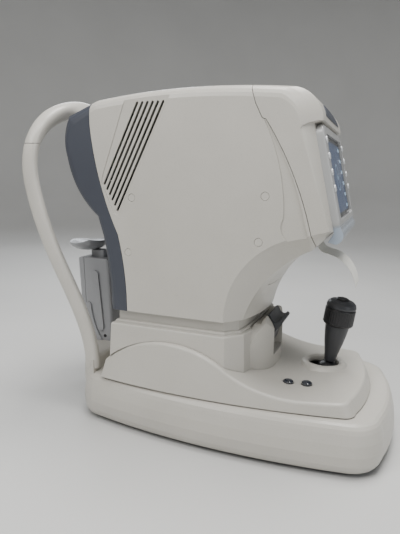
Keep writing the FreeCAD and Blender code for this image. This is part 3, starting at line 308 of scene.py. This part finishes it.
def display_glass(name, middle_up):
    """Switched-on display: glowing ring, spot and plain bars over a blue field that is a painted
    reflection, glowing too.
    """
    look = Look(name)
    across, up = screen_axes(look)
    up = look.math("SUBTRACT", up, middle_up)
    pair = look.node("ShaderNodeCombineXYZ")
    look.link(across, pair.inputs["X"])
    look.link(up, pair.inputs["Y"])
    size = look.node("ShaderNodeVectorMath", operation="LENGTH")
    look.link(pair.outputs["Vector"], size.inputs[0])
    radius = size.outputs["Value"]

    def near(value, target, half):
        gap = look.math("ABSOLUTE", look.math("SUBTRACT", value, target), 0.0)
        return look.ranged(gap, half, half * 0.6)

    ring = near(radius, RING_RADIUS, RING_HALF)
    spot = look.ranged(radius, 0.0035, 0.0025)
    inside_x = look.ranged(look.math("ABSOLUTE", across, 0.0), FIELD_HALF_WIDE + 0.0005,
                           FIELD_HALF_WIDE - 0.0005)
    inside_y = look.ranged(look.math("ABSOLUTE", up, 0.0), FIELD_HALF_HIGH + 0.0005,
                           FIELD_HALF_HIGH - 0.0005)
    field = look.math("MULTIPLY", inside_x, inside_y)
    bar_across = look.ranged(look.math("ABSOLUTE", across, 0.0), BAR_START, BAR_START + 0.0006)
    rows = look.math("PINGPONG", up, BAR_PITCH)
    bars = look.math("MULTIPLY", bar_across, look.ranged(rows, 0.0050, 0.0056))
    glow = look.math("MAXIMUM", look.math("MAXIMUM", ring, spot), bars)
    glow = look.math("MULTIPLY", glow, field)
    smear = look.noise(22.0, 4.0)
    # painted reflection: the blue inside the field stands for a reflection in the glass, and the
    # emission below makes it glow
    base = look.mix(field, (0.006, 0.007, 0.010), (0.020, 0.045, 0.11))
    base = look.mix(glow, base, (0.30, 0.45, 0.62))
    look.link(base, look.shader.inputs["Emission Color"])
    look.shader.inputs["Emission Strength"].default_value = 0.35
    look.shader.inputs["Specular IOR Level"].default_value = 0.2
    look.shader.inputs["Coat Weight"].default_value = 0.12
    look.shader.inputs["Coat Roughness"].default_value = 0.04
    rough = look.ranged(smear, 0.3, 0.7, 0.16, 0.28)
    return look.finish(base, rough, look.bump(smear, 0.02, 0.0002))


CREAM = (0.54, 0.52, 0.475)
screen_low, screen_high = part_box("lcd_screen")
SCREEN_MIDDLE = (Vector(screen_low) + Vector(screen_high)) / 2
SCREEN_UP = SCREEN_MIDDLE.z * math.cos(SCREEN_TILT) - SCREEN_MIDDLE.x * math.sin(SCREEN_TILT)

LOOKS = {
    "cover_plastic": moulded("cover", CREAM, 0.40, grain=0.28, coat=0.12, speckle=0.10),
    "collar_plastic": moulded("collar", shade(CREAM, 0.99), 0.42, grain=0.35, speckle=0.12),
    "bezel_plastic": moulded("bezel", (0.052, 0.058, 0.076), 0.46, grain=0.4, wear=1.7),
    "chin_plastic": moulded("chinrest", (0.30, 0.305, 0.32), 0.34, grain=0.12, coat=0.25),
    "headrest_plastic": moulded("headrest", (0.57, 0.55, 0.505), 0.36, grain=0.10, coat=0.15),
    "soft_pad": rubber("silicone_pad", (0.050, 0.052, 0.058), 0.62),
    "foot_rubber": rubber("foot_rubber", (0.018, 0.018, 0.018)),
    "black_plastic": moulded("black_plastic", (0.012, 0.012, 0.014), 0.36, grain=0.2, wear=2.4),
    "lever_plastic": moulded("charcoal", (0.038, 0.040, 0.046), 0.40, grain=0.3, wear=1.8),
    "button_plastic": moulded("button", (0.018, 0.022, 0.034), 0.16, grain=0.03, wear=2.0,
                              coat=1.0),
    "key_plastic": moulded("key", (0.66, 0.68, 0.70), 0.14, grain=0.03, coat=1.0),
    # screen_frame: the bluish second colour is a painted reflection on the rolled lip
    "screen_frame": display_surround("display_surround", (0.40, 0.405, 0.405), (0.36, 0.42, 0.50),
                                     SCREEN_UP - LIP_DROP),
    "screen_glass": display_glass("display_glass", SCREEN_UP),
    "window_glass": glass("window_glass", (0.02, 0.03, 0.05), 0.02, (0.03, 0.05, 0.07)),
    "lens_glass": glass("lens_glass", (0.25, 0.22, 0.38), 0.01, (0.20, 0.30, 0.34)),
    "plug_plastic": moulded("plug", shade(CREAM, 1.03), 0.40, grain=0.12),
    "steel_plate": moulded("painted_plate", (0.07, 0.072, 0.075), 0.55, grain=0.8,
                           grain_size=0.0012),
    "steel": metal("ground_steel", (0.55, 0.55, 0.56), 0.28),
    "aluminium": metal("milled_aluminium", (0.62, 0.63, 0.64), 0.40, grain=(3000.0, 60.0, 3000.0)),
    "brass_gear": metal("machined_brass", (0.62, 0.46, 0.20), 0.30, grain=(2500.0, 60.0, 2500.0)),
    "board": circuit_board("circuit_board"),
    "paper": paper("thermal_paper", (0.68, 0.67, 0.62)),
}
for entry in frame["record"]["subparts"]:
    mesh = NODES[entry["node"]].data
    mesh.materials.clear()
    mesh.materials.append(LOOKS[entry["material_slot"]])

# ---- mesh helpers ----------------------------------------------------------------


def piece(name, mesh, body, slot_name, smooth=True):
    """New piece that rides on a body and takes the look of a material slot."""
    made = bpy.data.objects.new(name, mesh)
    bpy.context.scene.collection.objects.link(made)
    mesh.materials.append(LOOKS[slot_name])
    for face in mesh.polygons:
        face.use_smooth = smooth
    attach(made, body)


def to_mesh(shape, name):
    mesh = bpy.data.meshes.new(name)
    shape.to_mesh(mesh)
    shape.free()
    return mesh


def turned_mesh(name, profile, centre, axis, steps=48):
    """Closed solid of revolution from (radius, height) points along an axis."""
    axis = Vector(axis).normalized()
    side = axis.orthogonal().normalized()
    other = axis.cross(side)
    shape = bmesh.new()
    rings = []
    for radius, height in profile:
        ring = []
        for i in range(steps if radius > 0 else 1):
            angle = 2 * math.pi * i / steps
            offset = (side * math.cos(angle) + other * math.sin(angle)) * radius
            ring.append(shape.verts.new(Vector(centre) + axis * height + offset))
        rings.append(ring)
    for low, high in zip(rings, rings[1:]):
        for i in range(steps):
            j = (i + 1) % steps
            corners = [low[i % len(low)], low[j % len(low)],
                       high[j % len(high)], high[i % len(high)]]
            unique = list(dict.fromkeys(corners))
            if len(unique) > 2:
                shape.faces.new(unique)
    bmesh.ops.recalc_face_normals(shape, faces=shape.faces)
    return to_mesh(shape, name)


# ---- camera, lights and floor ----------------------------------------------------

camera_data = bpy.data.cameras.new("camera")
camera_data.lens = LENS_MM
camera_data.sensor_width = SENSOR_MM
camera = bpy.data.objects.new("camera", camera_data)
bpy.context.scene.collection.objects.link(camera)
axes = Matrix((CAMERA_RIGHT, CAMERA_BACK.cross(CAMERA_RIGHT), CAMERA_BACK))
camera.matrix_world = axes.transposed().to_4x4()
camera.location = CAMERA_AT
bpy.context.scene.camera = camera


def area_light(name, place, target, size, power, colour):
    """Rectangular light aimed at a point, left out of what the camera sees."""
    data = bpy.data.lights.new(name, "AREA")
    data.shape = "RECTANGLE"
    data.size, data.size_y = size
    data.energy = power
    data.color = colour
    made = bpy.data.objects.new(name, data)
    made.location = place
    made.rotation_euler = (Vector(target) - Vector(place)).to_track_quat("-Z", "Y").to_euler()
    made.visible_camera = False
    bpy.context.scene.collection.objects.link(made)


for light_name, light in LIGHTS.items():
    area_light(light_name, *light)
world = bpy.data.worlds.new("studio")
world.use_nodes = True
world.node_tree.nodes["Background"].inputs["Color"].default_value = WORLD_COLOUR
world.node_tree.nodes["Background"].inputs["Strength"].default_value = WORLD_STRENGTH
bpy.context.scene.world = world

# A round pale floor whose edge curves up behind everything.
floor_mesh = turned_mesh("floor", FLOOR_EDGE, (0, 0, 0), (0, 0, 1), 96)
for floor_face in floor_mesh.polygons:
    floor_face.use_smooth = True
floor_look = Look("floor")
floor_cloud = floor_look.noise(3.0, 2.0)
floor_base = floor_look.mix(floor_look.ranged(floor_cloud, 0.3, 0.7), (0.60, 0.60, 0.59),
                            (0.63, 0.63, 0.62))
floor_rough = floor_look.ranged(floor_cloud, 0.3, 0.7, 0.6, 0.7)
floor_mesh.materials.append(floor_look.finish(floor_base, floor_rough))
floor = bpy.data.objects.new("floor", floor_mesh)
bpy.context.scene.collection.objects.link(floor)
floor.location.z = -FLOOR_DROP

# ---- forehead pad ----------------------------------------------------------------

def inflated(made, frames=16):
    """Cloth simulation under pressure, applied, with each point's move capped."""
    start = [v.co.copy() for v in made.data.vertices]
    cloth = made.modifiers.new("cloth", "CLOTH")
    cloth.settings.use_pressure = True
    cloth.settings.uniform_pressure_force = 4.0
    cloth.settings.tension_stiffness = 25.0
    cloth.settings.bending_stiffness = 2.0
    cloth.settings.effector_weights.gravity = 0.0
    scene = bpy.context.scene
    for number in range(1, frames + 1):
        scene.frame_set(number)
    graph = bpy.context.evaluated_depsgraph_get()
    result = made.evaluated_get(graph).to_mesh()
    moved = [v.co.copy() for v in result.vertices]
    made.evaluated_get(graph).to_mesh_clear()
    made.modifiers.remove(cloth)
    scene.frame_set(1)
    for vertex, old, new in zip(made.data.vertices, start, moved):
        step = new - old
        if step.length > PAD_CAP:
            step = step.normalized() * PAD_CAP
        vertex.co = old + step


def forehead_pad():
    """Soft silicone pad on the arch's crown, swollen by a cloth simulation."""
    source = NODES["forehead_pad"]
    made = bpy.data.objects.new("forehead_cushion", source.data.copy())
    bpy.context.scene.collection.objects.link(made)
    remesh = made.modifiers.new("remesh", "REMESH")
    remesh.mode = "VOXEL"
    remesh.voxel_size = 0.0025
    graph = bpy.context.evaluated_depsgraph_get()
    mesh = bpy.data.meshes.new_from_object(made.evaluated_get(graph))
    made.modifiers.clear()
    made.data = mesh
    middle = sum((v.co for v in mesh.vertices), Vector()) / len(mesh.vertices)
    for vertex in mesh.vertices:
        vertex.co = middle + (vertex.co - middle) * PAD_START
    inflated(made)
    low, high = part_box("forehead_pad")
    for vertex in mesh.vertices:
        for axis in range(3):
            vertex.co[axis] = min(high[axis], max(low[axis], vertex.co[axis]))
    mesh.materials.clear()
    mesh.materials.append(LOOKS["soft_pad"])
    for face in mesh.polygons:
        face.use_smooth = True
    smooth = made.modifiers.new("smooth", "SUBSURF")
    smooth.levels = smooth.render_levels = 1
    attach(made, "base")
    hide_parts("forehead_pad")


forehead_pad()

# ---- small details ---------------------------------------------------------------

TILT_UP = Vector((-math.sin(SCREEN_TILT), 0, math.cos(SCREEN_TILT)))
TILT_OUT = Vector((math.cos(SCREEN_TILT), 0, math.sin(SCREEN_TILT)))


def visor_insert():
    """Dark half-disc laid on the brow above the display."""
    low_rise, high_rise, half_wide = 0.0685, 0.0900, 0.064
    below_lift, above_lift = 0.00002, 0.0007
    ray_start = 0.06
    rows, columns = 12, 40
    cover = NODES["back_cover"].data
    tree = BVHTree.FromPolygons([v.co for v in cover.vertices],
                                [f.vertices for f in cover.polygons])
    shape = bmesh.new()

    def layer(lift):
        """Grid of points on the cover's face, raised by lift."""
        grid = []
        for i in range(rows + 1):
            share = math.sin(math.pi / 2 * i / rows) * 0.995
            width = half_wide * math.sqrt(1 - share * share)
            up = low_rise + (high_rise - low_rise) * share
            row = []
            for j in range(columns + 1):
                start = SCREEN_MIDDLE + TILT_UP * up + TILT_OUT * ray_start
                start.y = width * (2 * j / columns - 1)
                hit = tree.ray_cast(start, -TILT_OUT)[0]
                row.append(shape.verts.new(hit + TILT_OUT * lift))
            grid.append(row)
        return grid

    def rim(grid):
        """The grid's outside points, in order round it."""
        return (grid[0] + [row[-1] for row in grid[1:]] + grid[-1][::-1][1:]
                + [row[0] for row in grid[::-1][1:-1]])

    below, above = layer(below_lift), layer(above_lift)
    for i in range(rows):
        for j in range(columns):
            shape.faces.new([above[i][j], above[i][j + 1], above[i + 1][j + 1], above[i + 1][j]])
            shape.faces.new([below[i][j], below[i + 1][j], below[i + 1][j + 1], below[i][j + 1]])
    outer, inner = rim(above), rim(below)
    for k in range(len(outer)):
        n = (k + 1) % len(outer)
        shape.faces.new([outer[k], inner[k], inner[n], outer[n]])
    bmesh.ops.recalc_face_normals(shape, faces=shape.faces)
    piece("visor_insert", to_mesh(shape, "visor_insert"), "head", "bezel_plastic", smooth=False)


def rounded_block(name, low, high, radius):
    """Box between two corners with rounded edges."""
    shape = bmesh.new()
    bmesh.ops.create_cube(shape, size=1.0)
    for vertex in shape.verts:
        vertex.co = Vector([low[k] + (vertex.co[k] + 0.5) * (high[k] - low[k]) for k in range(3)])
    bmesh.ops.bevel(shape, geom=shape.edges[:], offset=radius, segments=3, affect="EDGES")
    return to_mesh(shape, name)


def window_trim():
    """Black retaining ring on the measuring window's face."""
    profile = [(0.0296, 0.0), (0.0323, 0.0), (0.0323, 0.0009), (0.0318, 0.0013), (0.0304, 0.0013),
               (0.0296, 0.0006)]
    centre = (WINDOW_FACE_X, 0, EYE_Z)
    mesh = turned_mesh("window_trim", profile + profile[:1], centre, (-1, 0, 0), 72)
    piece("window_trim", mesh, "head", "black_plastic", smooth=False)


def lamp_domes():
    """Clear domes on the lamps round the objective."""
    profile = [(0.0, -0.0002), (0.0019, -0.0002), (0.0019, 0.0004), (0.0016, 0.0011),
               (0.0009, 0.0017), (0.0, 0.0019)]
    for i in range(LAMPS):
        angle = 2 * math.pi * i / LAMPS
        centre = (LAMP_FACE_X, LAMP_RING * math.cos(angle), EYE_Z + LAMP_RING * math.sin(angle))
        mesh = turned_mesh("lamp_dome_%d" % i, profile, centre, (-1, 0, 0), 20)
        piece("lamp_dome_%d" % i, mesh, "head", "lens_glass")


def column_screws():
    """Socket screws low on both sides of the chinrest column."""
    profile = [(0.0, 0.0002), (0.0010, 0.0002), (0.0011, 0.0008), (0.0020, 0.0008),
               (0.0025, 0.0004), (0.0026, -0.0001), (0.0, -0.0001)]
    for side, name in ((-1, "column_screw_left"), (1, "column_screw_right")):
        place = (-0.1790, side * 0.0220, 0.0935)
        mesh = turned_mesh(name, profile, place, (0, side, 0), 24)
        piece(name, mesh, "base", "black_plastic", smooth=False)


def inlet_contacts():
    """Steel sleeves on the three pins of the power inlet."""
    half_wide, half_high = 0.0013, 0.0028
    for i, (x, z) in enumerate(((-0.087, 0.031), (-0.073, 0.031), (-0.080, 0.037))):
        name = "inlet_contact_%d" % i
        low = (x - half_wide, 0.1082, z - half_high)
        high = (x + half_wide, 0.1136, z + half_high)
        piece(name, rounded_block(name, low, high, 0.0005), "base", "steel", smooth=False)


visor_insert()
window_trim()
lamp_domes()
column_screws()
inlet_contacts()
